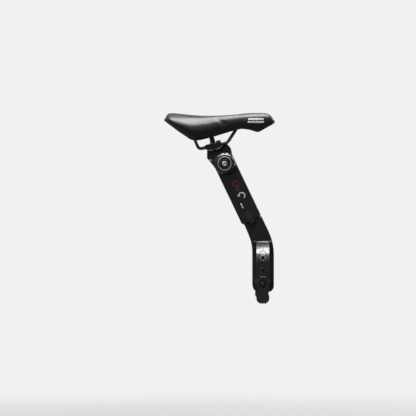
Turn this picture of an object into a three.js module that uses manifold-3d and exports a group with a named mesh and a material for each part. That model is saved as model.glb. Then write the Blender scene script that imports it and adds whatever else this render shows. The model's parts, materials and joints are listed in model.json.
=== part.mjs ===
// Front-mounted child's bicycle seat, in millimetres: +X forward, +Y to the rider's left, +Z up.
// A small railed saddle is clamped to a head that rests on the bicycle's top tube. A threaded
// spindle with a dial draws two arms against the frame, and each arm holds a sliding leg with a
// foot peg and a rubber strap. The origin is the centre of the face that rests on the top tube.

import * as THREE from 'three';
import { mergeVertices } from 'three/addons/utils/BufferGeometryUtils.js';
import Module from 'manifold-3d';

const wasm = await Module();
wasm.setup();

// ---------------------------------------------------------------- driving dimensions

const GAP = 0.3;                    // between pieces that touch
const BIG = 400;                    // longer than anything that is cut

const TUBE_SLOPE = rad(35);         // the top tube climbs forward
const TUBE_PAD_DEPTH = 14;          // spindle axis to the face on the tube
const TUBE_PAD = { thick: 3.5, halfLength: 20, halfWidth: 24 };

const ARM_LEAN = rad(25.5);         // arms lean forward going down
const ARM = { inner: 40, outer: 62, halfWidth: 23, length: 138, bevel: 2.5 };
const COLLAR = { radius: 20, inner: 31 };
const POCKET = { halfWidth: 19.3, start: 26, inner: 43.2, outer: 56.8 };
const FRAME_PAD = { face: 34, halfWidth: 17, start: 44, end: 128 };

const HUB = { radius: 7, hexRadius: 6.9, bore: 4.5, halfLength: 49 };
const BUSH = { inner: 7.3, outer: 8.3, flange: 11, from: 8, cheek: 25.3, face: 26.6 };
const SPINDLE = { radius: 4, rightEnd: 71.5, headFrom: 62.6, headTo: 70, headRadius: 8 };

const DIAL = { radius: 24, back: 62.6, boss: 8, bossEnd: 53, boreDepth: 78.5, flutes: 12 };
const CAP = { radius: 20, from: 62.3, to: 69 };

const HEAD = { halfWidth: 25, hornHalfWidth: 16, shoulder: 20, rear: -38.3, horn: 15.6 };
const HEAD_PIN = { at: [-30.7, 6.6], radius: 2.5, halfLength: 25.8 };
const CLAMP_TILT = rad(12.5);
const CLAMP_CENTRE = [-24.1, 38.1];
const CLAMP = { halfLength: 19, halfWidth: 29, split: 0.6, top: 5.8, pivotHeight: 31.4 };
const SEAT_RADIUS = 40;             // round underside of the cradle
const SEAT_WALL = 5;                // head wall between the cradle and the curved washer
const TILT_RANGE = rad(8);

const RAIL = { radius: 3.5, halfGauge: 22 };
const RAIL_SIDES = 10;
const RAIL_STEPS = 30;
const BOLT = { radius: 3, head: 5, headTop: -16.8, headDepth: 4.8, nutTop: 19.6, nutRadius: 5.8 };
const SCREW_ALONG = 12.6;           // small clamp screw, ahead of the main bolt
const SCREW_RADIUS = 2.5;

const TONGUE = { halfWidth: 19, start: 42, inner: 43.5, outer: 56.5 };
const LEG = { start: 139.5, halfWidth: 23, inner: 42, outer: 58, foot: -279.7, corner: 12.5 };
const BEND_RADIUS = 96;             // of the leg's centre line
const LEG_X = 84.3;                 // centre line of the upright part of the leg
const LATCH = { halfWidth: 7.5, start: 113, pivot: 116, end: 144, inner: 57.2, outer: 61.8, pinY: 59 };

const PEG = { x: 82.3, z: -257.8, radius: 16, flat: -246, from: 58.3, to: 130 };
const STRAP = { thick: 3, halfWidth: 14, pinY: 62.3, pinZ: -172, outerY: 132, foot: -302 };
const STRAP_HOLES = [-204, -231];
const PEG_BOLTS = { front: 90, rear: 74.6 };
const PEG_BOLT_Z = -260;
const PEG_BOLT_RADIUS = 2.5;
const PIN_RADIUS = 2;               // strap pin

// ---------------------------------------------------------------- small helpers

function rad(degrees) {
  return degrees * Math.PI / 180;
}

function range(count) {
  return Array.from({ length: count }, (_, i) => i);
}

function lerp(a, b, t) {
  return a + (b - a) * t;
}

function smooth(t) {
  const c = Math.min(Math.max(t, 0), 1);
  return c * c * (3 - 2 * c);
}

// Value at x of a curve through knots [x, value], rounded off between them.
function through(knots, x) {
  const last = knots.length - 2;
  const found = knots.findIndex((knot, i) => i > 0 && x <= knot[0]);
  const i = Math.min(found < 0 ? last : found - 1, last);
  const span = knots[i + 1][0] - knots[i][0];
  const slope = (k) => {
    const before = knots[Math.max(k - 1, 0)];
    const after = knots[Math.min(k + 1, knots.length - 1)];
    return (after[1] - before[1]) / (after[0] - before[0]);
  };
  const t = Math.min(Math.max((x - knots[i][0]) / span, 0), 1);
  const h = t * t * (3 - 2 * t);
  const rise = slope(i) * span * t * (1 - t) * (1 - t);
  const fall = slope(i + 1) * span * t * t * (t - 1);
  return lerp(knots[i][1], knots[i + 1][1], h) + rise + fall;
}

// Points on an arc in the XZ plane, with angles from +X towards +Z.
function arc(centre, radius, from, to, steps) {
  return range(steps + 1).map((i) => {
    const a = lerp(from, to, i / steps);
    return [centre[0] + radius * Math.cos(a), centre[1] + radius * Math.sin(a)];
  });
}

// A point given across the arm (forward positive) and down along it from the spindle.
function armPoint(across, down) {
  const c = Math.cos(ARM_LEAN);
  const s = Math.sin(ARM_LEAN);
  return [across * c + down * s, across * s - down * c];
}

// A point given along the top tube (up it positive) and out from the spindle towards the tube.
function tubePoint(along, out) {
  const c = Math.cos(TUBE_SLOPE);
  const s = Math.sin(TUBE_SLOPE);
  return [along * c + out * s, along * s - out * c];
}

// A point given along the saddle rails and square to them, from the clamp's centre.
function clampPoint(along, up) {
  const c = Math.cos(CLAMP_TILT);
  const s = Math.sin(CLAMP_TILT);
  return [CLAMP_CENTRE[0] + along * c - up * s, CLAMP_CENTRE[1] + along * s + up * c];
}

const TILT_AXIS = clampPoint(0, CLAMP.pivotHeight);

// A point at a radius from the tilt axis, at an angle from the clamp's own downward direction.
function seatPoint(radius, angle) {
  const a = CLAMP_TILT + angle;
  return [TILT_AXIS[0] + radius * Math.sin(a), TILT_AXIS[1] - radius * Math.cos(a)];
}

// ---------------------------------------------------------------- solids

// Any closed three.js geometry as a solid for joining and cutting, with its faces turned outward.
function solid(geometry) {
  const bare = geometry.clone();
  bare.deleteAttribute('normal');
  bare.deleteAttribute('uv');
  const merged = mergeVertices(bare, 1e-4);
  const spots = merged.attributes.position;
  const corners = merged.index.array;
  const kept = [];
  let volume = 0;
  const a = new THREE.Vector3();
  const b = new THREE.Vector3();
  const c = new THREE.Vector3();
  for (let i = 0; i < corners.length; i += 3) {
    const [p, q, r] = [corners[i], corners[i + 1], corners[i + 2]];
    if (p === q || q === r || r === p) continue;
    kept.push([p, q, r]);
    a.fromBufferAttribute(spots, p);
    b.fromBufferAttribute(spots, q);
    c.fromBufferAttribute(spots, r);
    volume += a.dot(b.cross(c));
  }
  const outward = volume > 0 ? kept : kept.map(([p, q, r]) => [p, r, q]);
  return new wasm.Manifold(new wasm.Mesh({
    numProp: 3,
    vertProperties: new Float32Array(spots.array),
    triVerts: new Uint32Array(outward.flat()),
  }));
}

// An outline in the XZ plane, given thickness along Y, with rounded edges where bevel is set.
function plate(outline, yFrom, yTo, bevel = 0) {
  const [low, high] = [Math.min(yFrom, yTo), Math.max(yFrom, yTo)];
  const shape = new THREE.Shape(outline.map(([x, z]) => new THREE.Vector2(x, z)));
  const geometry = new THREE.ExtrudeGeometry(shape, {
    depth: high - low - 2 * bevel,
    steps: 1,
    bevelEnabled: bevel > 0,
    bevelSize: bevel,
    bevelThickness: bevel,
    bevelOffset: -bevel,
    bevelSegments: 2,
  });
  geometry.rotateX(Math.PI / 2);
  geometry.translate(0, high - bevel, 0);
  return solid(geometry);
}

// A straight rod between two points, round by default.
function rod(from, to, radius, sides = 18) {
  const start = new THREE.Vector3(...from);
  const axis = new THREE.Vector3(...to).sub(start);
  const geometry = new THREE.CylinderGeometry(radius, radius, axis.length(), sides);
  geometry.translate(0, axis.length() / 2, 0);
  const turn = new THREE.Quaternion().setFromUnitVectors(new THREE.Vector3(0, 1, 0), axis.normalize());
  geometry.applyQuaternion(turn);
  geometry.translate(start.x, start.y, start.z);
  return solid(geometry);
}

// A rod along Y through the point [x, z].
function crossRod([x, z], yFrom, yTo, radius, sides = 18) {
  return rod([x, Math.min(yFrom, yTo), z], [x, Math.max(yFrom, yTo), z], radius, sides);
}

// A turned piece about the Y axis, from a closed profile of [radius, y] points.
function turned(profile, sides = 32) {
  const points = profile.map(([r, y]) => new THREE.Vector2(r, y));
  return solid(new THREE.LatheGeometry(points, sides));
}

function block(xFrom, xTo, yFrom, yTo, zFrom, zTo) {
  const outline = [[xFrom, zFrom], [xTo, zFrom], [xTo, zTo], [xFrom, zTo]];
  return plate(outline, yFrom, yTo);
}

// A rectangle on the arm: across from -half to +half, and down from start to end.
function armBlock(half, start, end, yFrom, yTo, bevel = 0) {
  const outline = [armPoint(-half, end), armPoint(half, end), armPoint(half, start), armPoint(-half, start)];
  return plate(outline, yFrom, yTo, bevel);
}

// A round section swept along a curve.
function sweep(curve, radius, sides, steps) {
  const round = new THREE.Shape(range(sides).map((i) => {
    const a = 2 * Math.PI * i / sides;
    return new THREE.Vector2(radius * Math.cos(a), radius * Math.sin(a));
  }));
  return solid(new THREE.ExtrudeGeometry(round, { steps, extrudePath: curve, bevelEnabled: false }));
}

// A skin between an outer and an inner line of points at each station, closed at both ends.
function skin(outer, inner) {
  const rings = outer.map((line, i) => [...line, ...[...inner[i]].reverse()]);
  const size = rings[0].length;
  const half = size / 2;
  const positions = rings.flat(2);
  const triangles = [];
  for (let i = 0; i + 1 < rings.length; i += 1) {
    for (let j = 0; j < size; j += 1) {
      const k = (j + 1) % size;
      const [a, b, c, d] = [i * size + j, i * size + k, (i + 1) * size + k, (i + 1) * size + j];
      triangles.push(a, b, c, a, c, d);
    }
  }
  const last = (rings.length - 1) * size;
  for (let j = 0; j + 1 < half; j += 1) {
    const [a, b, c, d] = [j, j + 1, size - 2 - j, size - 1 - j];
    triangles.push(a, c, b, a, d, c);
    triangles.push(last + a, last + b, last + c, last + a, last + c, last + d);
  }
  const geometry = new THREE.BufferGeometry();
  geometry.setAttribute('position', new THREE.Float32BufferAttribute(positions, 3));
  geometry.setIndex(triangles);
  return solid(geometry);
}

// ---------------------------------------------------------------- materials and naming

function finish(color, roughness, metalness = 0) {
  return new THREE.MeshStandardMaterial({ color, roughness, metalness });
}

const PLASTIC = finish(0x1b1b1d, 0.55);
const GLOSS = finish(0x202023, 0.3);
const RUBBER = finish(0x171718, 0.85);
const COVER = finish(0x1d1d20, 0.42);
const BLACK_STEEL = finish(0x19191b, 0.4, 0.9);
const BRIGHT_STEEL = finish(0xb9bbbf, 0.3, 1);
const ALLOY = finish(0x232326, 0.45, 0.8);

const seat = new THREE.Group();
const origin = tubePoint(0, TUBE_PAD_DEPTH);
seat.position.set(-origin[0], 0, -origin[1]);

function add(name, body, material) {
  const { vertProperties, triVerts } = body.getMesh();
  const geometry = new THREE.BufferGeometry();
  geometry.setAttribute('position', new THREE.Float32BufferAttribute(vertProperties, 3));
  geometry.setIndex(Array.from(triVerts));
  geometry.computeVertexNormals();
  const mesh = new THREE.Mesh(geometry, material);
  mesh.name = name;
  seat.add(mesh);
}

// ---------------------------------------------------------------- head on the top tube

// Ribs on the rounded front of the horn.
function hornFront() {
  const ribs = 7;
  const from = [3.3, 43.4];
  const to = [HEAD.horn, 22];
  return range(2 * ribs + 1).map((i) => {
    const t = i / (2 * ribs);
    const bulge = 3.2 * Math.sin(Math.PI * t) + (i % 2 ? 0 : 0.8);
    return [lerp(from[0], to[0], t) + bulge * 0.87, lerp(from[1], to[1], t) + bulge * 0.5];
  });
}

function headCore() {
  const underside = TUBE_PAD_DEPTH - TUBE_PAD.thick - GAP;
  const cheeks = plate([
    [HEAD.rear, HEAD.shoulder], [HEAD.rear, 12.7], [-35, 7.2], [-29.6, 0.7], [-22, -8.5],
    tubePoint(-19, underside), tubePoint(19.5, underside), [22.5, 8], [16.5, HEAD.shoulder],
  ], -HEAD.halfWidth, HEAD.halfWidth, 1.6);
  const seatArc = arc(TILT_AXIS, SEAT_RADIUS + 0.4, rad(-40), rad(-100.5), 18);
  const horn = plate([
    [HEAD.rear, 10], [HEAD.horn, 10], ...hornFront().reverse(), ...seatArc,
  ], -HEAD.hornHalfWidth, HEAD.hornHalfWidth);
  const slotEnd = TILT_RANGE + rad(5);
  const slot = plate([
    seatPoint(SEAT_RADIUS - 4, -slotEnd), seatPoint(SEAT_RADIUS - 4, slotEnd),
    seatPoint(SEAT_RADIUS + 8, slotEnd), seatPoint(SEAT_RADIUS + 8, -slotEnd),
  ], -3.4, 3.4);
  const ceiling = SEAT_RADIUS + 0.4 + SEAT_WALL;
  const wide = TILT_RANGE + rad(9.5);
  const chamber = plate([
    ...range(7).map((i) => seatPoint(ceiling, lerp(-wide, wide, i / 6))),
    ...range(7).map((i) => seatPoint(54, lerp(wide, -wide, i / 6) * 0.93)),
  ], -6.8, BIG);
  const bore = crossRod([0, 0], -BIG, BIG, BUSH.outer + GAP, 32);
  const pinHole = crossRod(HEAD_PIN.at, -BIG, BIG, HEAD_PIN.radius + GAP, 16);
  return cheeks.add(horn).subtract(slot).subtract(chamber).subtract(bore).subtract(pinHole);
}

function topTubePad() {
  const { thick, halfLength, halfWidth } = TUBE_PAD;
  const back = TUBE_PAD_DEPTH - thick;
  return plate([
    tubePoint(-halfLength, back), tubePoint(-halfLength + 1, TUBE_PAD_DEPTH),
    tubePoint(halfLength - 1, TUBE_PAD_DEPTH), tubePoint(halfLength, back),
  ], -halfWidth, halfWidth);
}

function bush(side) {
  const profile = [
    [BUSH.inner, BUSH.from], [BUSH.outer, BUSH.from], [BUSH.outer, BUSH.cheek],
    [BUSH.flange, BUSH.cheek], [BUSH.flange, BUSH.face], [BUSH.inner, BUSH.face],
    [BUSH.inner, BUSH.from],
  ];
  return turned(profile.map(([r, y]) => [r, side * y]), 20);
}

function addHead() {
  add('head_core', headCore(), PLASTIC);
  add('top_tube_pad', topTubePad(), RUBBER);
  const { at, radius, halfLength } = HEAD_PIN;
  add('head_pin', crossRod(at, -halfLength, halfLength, radius, 16), BRIGHT_STEEL);
  add('hub_bush_right', bush(-1), PLASTIC);
  add('hub_bush_left', bush(1), PLASTIC);
}

// ---------------------------------------------------------------- rail clamp

// A rod square to the saddle rails, at a distance along them from the clamp's centre.
function clampRod(along, from, to, radius, sides = 16) {
  const [x0, z0] = clampPoint(along, from);
  const [x1, z1] = clampPoint(along, to);
  return rod([x0, 0, z0], [x1, 0, z1], radius, sides);
}

function railGroove(side) {
  const [x0, z0] = clampPoint(-40, 0);
  const [x1, z1] = clampPoint(40, 0);
  const y = side * RAIL.halfGauge;
  return rod([x0, y, z0], [x1, y, z1], RAIL.radius + GAP, 14);
}

function railCradle() {
  const reach = Math.asin(CLAMP.halfLength / SEAT_RADIUS);
  const underside = range(13).map((i) => seatPoint(SEAT_RADIUS, lerp(-reach, reach, i / 12)));
  const outline = [
    ...underside, clampPoint(CLAMP.halfLength, -CLAMP.split), clampPoint(-CLAMP.halfLength, -CLAMP.split),
  ];
  return plate(outline, -CLAMP.halfWidth, CLAMP.halfWidth)
    .subtract(railGroove(1))
    .subtract(railGroove(-1))
    .subtract(clampRod(0, -20, 20, BOLT.radius + GAP))
    .subtract(clampRod(SCREW_ALONG, -20, 20, SCREW_RADIUS + GAP));
}

function railClampPlate() {
  const { halfLength, halfWidth, split, top } = CLAMP;
  const outline = [
    clampPoint(-halfLength, split), clampPoint(halfLength, split), clampPoint(halfLength, top - 2),
    clampPoint(halfLength - 3, top), clampPoint(3 - halfLength, top), clampPoint(-halfLength, top - 2),
  ];
  const rib = (along) => plate([
    clampPoint(along, top - 1), clampPoint(along + 2, top - 1),
    clampPoint(along + 1.6, top + 0.9), clampPoint(along + 0.4, top + 0.9),
  ], -halfWidth + 2, -10);
  const ribs = [-14, -9, 7].map(rib);
  return ribs.reduce((whole, one) => whole.add(one), plate(outline, -halfWidth, halfWidth))
    .subtract(railGroove(1))
    .subtract(railGroove(-1))
    .subtract(clampRod(0, -20, 20, BOLT.radius + GAP))
    .subtract(clampRod(SCREW_ALONG, -20, 20, SCREW_RADIUS + GAP));
}

function clampWasher() {
  const inner = SEAT_RADIUS + 0.4 + SEAT_WALL + 0.2;
  const reach = rad(7);
  const outline = [
    ...range(5).map((i) => seatPoint(inner, lerp(-reach, reach, i / 4))),
    seatPoint(48, reach), seatPoint(48, -reach),
  ];
  return plate(outline, -6.2, 6.2).subtract(clampRod(0, -40, 0, BOLT.radius + GAP));
}

function clampBolt() {
  const shank = clampRod(0, BOLT.headTop - 1, 17, BOLT.radius, 16);
  return shank.add(clampRod(0, BOLT.headTop - BOLT.headDepth, BOLT.headTop, BOLT.head, 6));
}

function clampNut() {
  const foot = CLAMP.top + GAP;
  return clampRod(0, foot, foot + 2.2, 7.2)
    .add(clampRod(0, foot + 1, BOLT.nutTop - 1, BOLT.nutRadius, 6))
    .add(clampRod(0, foot + 1, BOLT.nutTop, BOLT.nutRadius - 1.2))
    .subtract(clampRod(0, 0, 30, BOLT.radius + GAP, 12));
}

function clampScrew() {
  const foot = CLAMP.top + GAP;
  return clampRod(SCREW_ALONG, -5.5, foot + 1, SCREW_RADIUS)
    .add(clampRod(SCREW_ALONG, foot, foot + 3.6, 5.2))
    .subtract(clampRod(SCREW_ALONG, foot + 1.6, 20, 2.6, 6));
}

function addClamp() {
  add('rail_cradle', railCradle(), ALLOY);
  add('rail_clamp_plate', railClampPlate(), ALLOY);
  add('clamp_washer', clampWasher(), BLACK_STEEL);
  add('clamp_bolt', clampBolt(), BLACK_STEEL);
  add('clamp_nut', clampNut(), BLACK_STEEL);
  add('clamp_screw', clampScrew(), BLACK_STEEL);
}

// ---------------------------------------------------------------- saddle

const SADDLE_TOP = [
  [-129.4, 99], [-126, 106], [-121, 109.4], [-100, 109], [-80, 107.2], [-60, 105.7], [-40, 105.1],
  [-20, 105.3], [0, 106.2], [30, 108.5], [60, 110], [78, 110.2], [90, 109.6], [97, 107.4], [102.5, 103],
  [106, 98], [107.6, 95],
];
const SADDLE_BOTTOM = [
  [-129.4, 92], [-126, 89], [-112, 78.5], [-99.4, 69.2], [-84, 59], [-73, 51.8], [-63, 50.2],
  [-52, 51.2], [-24, 58.3], [0, 65.6], [26.3, 73.2], [40, 75.6], [58, 72.6], [73.4, 68.5],
  [86, 74.8], [96, 80.4], [103, 84.2], [107.6, 87.6],
];
const SADDLE_HALF_WIDTH = [
  [-129.4, 31], [-125, 47], [-118, 58], [-105, 65.5], [-90, 67.5], [-75, 65], [-60, 57.5], [-45, 48],
  [-30, 39.5], [-10, 31], [10, 26.5], [30, 24], [60, 22.5], [85, 20.5], [98, 16.5], [104.5, 12],
  [107.6, 8],
];
const SADDLE_STATIONS = [
  -129.4, -126, -120, -110, -96, -82, -70, -58, -42, -24, -4, 18, 38, 56, 73.4, 86, 96, 103, 107.6,
];
// Half a section from its lower edge to the top centre: [share of half-width, share of height].
const SADDLE_SECTION = [
  [0.8, 0], [0.94, 0.2], [1, 0.5], [0.94, 0.75], [0.76, 0.93], [0.38, 1], [0, 0.985],
];

function saddleLine(x, sideways, downward) {
  const width = through(SADDLE_HALF_WIDTH, x);
  const low = through(SADDLE_BOTTOM, x);
  const height = through(SADDLE_TOP, x) - low;
  const narrow = width - Math.min(sideways, width * sideways / 24);
  const flat = height - Math.min(downward, height * downward / 40);
  const half = SADDLE_SECTION.map(([a, b]) => [x, a * narrow, low + b * flat]);
  const mirrored = half.slice(0, -1).reverse().map(([px, y, z]) => [px, -y, z]);
  return [...half, ...mirrored];
}

function saddleSkin(stations, outer, inner) {
  return skin(
    stations.map((x) => saddleLine(x, ...outer)),
    stations.map((x) => saddleLine(x, ...inner)),
  );
}

function railCurve(side) {
  const at = ([x, z], y) => new THREE.Vector3(x, side * y, z);
  const rearEnd = at([-66.5, 55], 32);
  const rearKnee = at(clampPoint(-33, 0), RAIL.halfGauge);
  const rearStraight = at(clampPoint(-27, 0), RAIL.halfGauge);
  const frontStraight = at(clampPoint(26.5, 0), RAIL.halfGauge);
  const frontKnee = at(clampPoint(31, 0), RAIL.halfGauge);
  const frontEnd = at([27, 77], 6.2);
  const rearBend = rearKnee.clone().lerp(rearEnd, 0.32);
  const frontBend = frontKnee.clone().lerp(frontEnd, 0.2);
  const path = new THREE.CurvePath();
  path.add(new THREE.LineCurve3(rearEnd, rearBend));
  path.add(new THREE.QuadraticBezierCurve3(rearBend, rearKnee, rearStraight));
  path.add(new THREE.LineCurve3(rearStraight, frontStraight));
  path.add(new THREE.QuadraticBezierCurve3(frontStraight, frontKnee, frontBend));
  path.add(new THREE.LineCurve3(frontBend, frontEnd));
  return path;
}

function saddleShell() {
  const stations = SADDLE_STATIONS.filter((x) => x > -120 && x < 95);
  const rearBoss = (side) => block(-74, -59, side * 25, side * 37, 53, 82);
  const frontBoss = block(18, 34, -10.6, 10.6, 75, 87);
  const railHole = (side) => sweep(railCurve(side), RAIL.radius + GAP, RAIL_SIDES, RAIL_STEPS);
  return saddleSkin(stations, [12, 17.5], [15, 20.5])
    .add(rearBoss(1))
    .add(rearBoss(-1))
    .add(frontBoss)
    .subtract(railHole(1))
    .subtract(railHole(-1));
}

function addSaddle() {
  add('saddle_pad', saddleSkin(SADDLE_STATIONS, [0, 0], [9, 15.5]), COVER);
  add('saddle_shell', saddleShell(), PLASTIC);
  add('rail_right', sweep(railCurve(-1), RAIL.radius, RAIL_SIDES, RAIL_STEPS), BLACK_STEEL);
  add('rail_left', sweep(railCurve(1), RAIL.radius, RAIL_SIDES, RAIL_STEPS), BLACK_STEEL);
}

// ---------------------------------------------------------------- hub, spindle and dial

function hubTube() {
  return crossRod([0, 0], -28, 28, HUB.radius, 32)
    .add(crossRod([0, 0], -HUB.halfLength, HUB.halfLength, HUB.hexRadius, 6))
    .subtract(crossRod([0, 0], -BIG, BIG, HUB.bore, 24));
}

function spindle() {
  const { radius, rightEnd, headFrom, headTo, headRadius } = SPINDLE;
  return crossRod([0, 0], -rightEnd, headFrom + 1, radius, 24)
    .add(crossRod([0, 0], headFrom, headTo, headRadius, 6));
}

function spindleCap() {
  const inner = SPINDLE.headRadius + 0.8;
  const { radius, from, to } = CAP;
  return turned([
    [inner, from], [radius, from], [radius, to - 3], [radius - 3, to], [inner + 2, to],
    [inner, to - 1], [inner, from],
  ]);
}

function dial() {
  const { radius, back, boss, bossEnd, boreDepth, flutes } = DIAL;
  const bore = SPINDLE.radius + GAP;
  const profile = [
    [0, boreDepth], [bore, boreDepth], [bore, bossEnd], [boss, bossEnd], [boss, back],
    [radius - 1.5, back], [radius, back + 1.5], [radius, 71], [22.4, 74.5], [19, 79.8], [17.4, 80.6],
    [16.4, 79.4], [15, 81.4], [13, 81.8], [12.4, 80.4], [9.6, 80.4], [9, 82.2], [6.4, 82.2],
    [6.2, 79.6], [0, 79.6],
  ];
  const body = turned(profile.map(([r, y]) => [r, -y]));
  const flute = (i) => {
    const a = 2 * Math.PI * i / flutes;
    return crossRod([26.2 * Math.cos(a), 26.2 * Math.sin(a)], -60, -90, 3, 8);
  };
  return range(flutes).reduce((whole, i) => whole.subtract(flute(i)), body);
}

function dialScrew() {
  const face = 83.2;
  return turned([[0, -79.9], [5.6, -79.9], [5.6, -face + 0.8], [4.8, -face], [0, -face]], 32)
    .subtract(crossRod([0, 0], -81.2, -90, 2.6, 6));
}

function addHub() {
  add('hub_tube', hubTube(), BRIGHT_STEEL);
  add('spindle', spindle(), BRIGHT_STEEL);
  add('spindle_cap', spindleCap(), PLASTIC);
  add('dial', dial(), GLOSS);
  add('dial_screw', dialScrew(), BRIGHT_STEEL);
}

// ---------------------------------------------------------------- arms

function armOutline() {
  const corner = 4;
  const { halfWidth, length } = ARM;
  const low = [[-halfWidth, length - corner], [corner - halfWidth, length]];
  const high = [[halfWidth - corner, length], [halfWidth, length - corner]];
  const round = range(19).map((i) => {
    const a = Math.PI * i / 18;
    return [halfWidth * Math.cos(a), -halfWidth * Math.sin(a)];
  });
  return [...low, ...high, ...round].map(([across, down]) => armPoint(across, down));
}

function armSleeve(side) {
  const y = (value) => side * value;
  const { inner, outer, bevel } = ARM;
  const socketEnd = 52.5;
  const outerHole = side < 0 ? DIAL.boss + 0.4 : SPINDLE.radius + 0.4;
  const [pinX0, pinZ0] = armPoint(-13, LATCH.pivot);
  const [pinX1, pinZ1] = armPoint(13, LATCH.pivot);
  return plate(armOutline(), y(inner), y(outer), bevel)
    .add(crossRod([0, 0], y(COLLAR.inner), y(inner + 1), COLLAR.radius, 32))
    .subtract(armBlock(POCKET.halfWidth, POCKET.start, BIG, y(POCKET.inner), y(POCKET.outer)))
    .subtract(crossRod([0, 0], y(20), y(socketEnd), HUB.hexRadius + 0.35, 6))
    .subtract(crossRod([0, 0], y(socketEnd - 1), y(80), outerHole, 32))
    .subtract(armBlock(LATCH.halfWidth + GAP, LATCH.start - 0.8, BIG, y(POCKET.outer - 1), y(80)))
    .subtract(armBlock(LATCH.halfWidth + GAP, 88, LATCH.start, y(outer - 0.9), y(80)))
    .subtract(rod([pinX0, y(LATCH.pinY), pinZ0], [pinX1, y(LATCH.pinY), pinZ1], 1.15, 12));
}

function framePad(side) {
  const { face, halfWidth, start, end } = FRAME_PAD;
  const back = ARM.inner - GAP;
  const body = armBlock(halfWidth, start, end, side * face, side * back);
  const groove = (down) => armBlock(BIG, down, down + 2.4, side * (face - 1), side * (face + 1.4));
  return [54, 64, 74, 98, 108, 118].reduce((whole, down) => whole.subtract(groove(down)), body);
}

function latch(side) {
  const y = (value) => side * value;
  const { halfWidth, start, end, inner, outer, pivot, pinY } = LATCH;
  const round = range(11).map((i) => {
    const a = Math.PI * i / 10;
    return armPoint(-halfWidth * Math.cos(a), end - halfWidth + halfWidth * Math.sin(a));
  });
  const body = plate([...round, armPoint(halfWidth, start), armPoint(-halfWidth, start)], y(inner), y(outer));
  const ridge = (down) => armBlock(halfWidth - 1.8, down, down + 1.3, y(outer - 1), y(outer + 1.1));
  const tooth = armBlock(2.5, 132, 136, y(55.4), y(inner + 1));
  const [x0, z0] = armPoint(-13, pivot);
  const [x1, z1] = armPoint(13, pivot);
  return [130, 132.6, 135.2, 137.8].reduce((whole, down) => whole.add(ridge(down)), body)
    .add(tooth)
    .subtract(rod([x0, y(pinY), z0], [x1, y(pinY), z1], 1.3, 12))
    .subtract(armBlock(3.2, pivot - BIG, pivot + 3, y(50), y(61)));
}

function latchPin(side) {
  const [x0, z0] = armPoint(-12, LATCH.pivot);
  const [x1, z1] = armPoint(12, LATCH.pivot);
  return rod([x0, side * LATCH.pinY, z0], [x1, side * LATCH.pinY, z1], 0.95, 10);
}

class Coil extends THREE.Curve {
  constructor(turns, radius, halfLength) {
    super();
    this.turns = turns;
    this.radius = radius;
    this.halfLength = halfLength;
  }

  getPoint(t, target = new THREE.Vector3()) {
    const a = 2 * Math.PI * this.turns * t;
    const along = lerp(-this.halfLength, this.halfLength, t);
    return target.set(along, this.radius * Math.cos(a), this.radius * Math.sin(a));
  }
}

function latchSpring(side) {
  const wire = new THREE.Shape(range(5).map((i) => {
    const a = 2 * Math.PI * i / 5;
    return new THREE.Vector2(0.3 * Math.cos(a), 0.3 * Math.sin(a));
  }));
  const path = new Coil(2.5, 1.55, 2.2);
  const geometry = new THREE.ExtrudeGeometry(wire, { steps: 20, extrudePath: path, bevelEnabled: false });
  geometry.rotateY(-ARM_LEAN);
  const [x, z] = armPoint(0, LATCH.pivot);
  geometry.translate(x, side * LATCH.pinY, z);
  return solid(geometry);
}

function addArm(side, name) {
  add(`arm_sleeve_${name}`, armSleeve(side), PLASTIC);
  add(`frame_pad_${name}`, framePad(side), RUBBER);
  add(`latch_${name}`, latch(side), GLOSS);
  add(`latch_pin_${name}`, latchPin(side), BRIGHT_STEEL);
  add(`latch_spring_${name}`, latchSpring(side), BRIGHT_STEEL);
}

// ---------------------------------------------------------------- legs and foot pegs

// The leg's centre line: [x, z, heading], straight along the arm, then round to upright.
const BEND_CORNER = LEG_X / Math.sin(ARM_LEAN);
const BEND_START = BEND_CORNER - BEND_RADIUS * Math.tan(ARM_LEAN / 2);

function legStation(down) {
  const turnedBy = Math.min(Math.max((down - BEND_START) / BEND_RADIUS, 0), ARM_LEAN);
  const straight = Math.min(down, BEND_START);
  const [x0, z0] = armPoint(0, straight);
  const heading = ARM_LEAN - turnedBy;
  const x1 = x0 + BEND_RADIUS * (Math.cos(heading) - Math.cos(ARM_LEAN));
  const z1 = z0 - BEND_RADIUS * (Math.sin(ARM_LEAN) - Math.sin(heading));
  const rest = Math.max(down - BEND_START - BEND_RADIUS * ARM_LEAN, 0);
  return [x1, z1 - rest, heading];
}

function legOutline() {
  const steps = 8;
  const bendEnd = BEND_START + BEND_RADIUS * ARM_LEAN;
  const sides = range(steps + 1).map((i) => {
    const down = lerp(LEG.start, bendEnd, i / steps);
    const [x, z, heading] = legStation(down);
    const across = (half) => [x + half * Math.cos(heading), z + half * Math.sin(heading)];
    const rearHalf = lerp(TONGUE.halfWidth, LEG.halfWidth, smooth(i / steps));
    return { rear: across(-rearHalf), front: across(LEG.halfWidth) };
  });
  const round = LEG.corner;
  const left = LEG_X - LEG.halfWidth + round;
  const right = LEG_X + LEG.halfWidth - round;
  const floor = LEG.foot + round;
  return [
    ...sides.map((s) => s.rear),
    ...arc([left, floor], round, Math.PI, 1.5 * Math.PI, 4),
    ...arc([right, floor], round, 1.5 * Math.PI, 2 * Math.PI, 4),
    ...sides.map((s) => s.front).reverse(),
  ];
}

function strapEar(side, x) {
  const { pinY, pinZ } = STRAP;
  const body = block(x, x + 4, side * (LEG.outer - 2), side * pinY, pinZ - 4.2, pinZ + 4.2);
  return body.add(rod([x, side * pinY, pinZ], [x + 4, side * pinY, pinZ], 4.2, 20));
}

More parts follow.
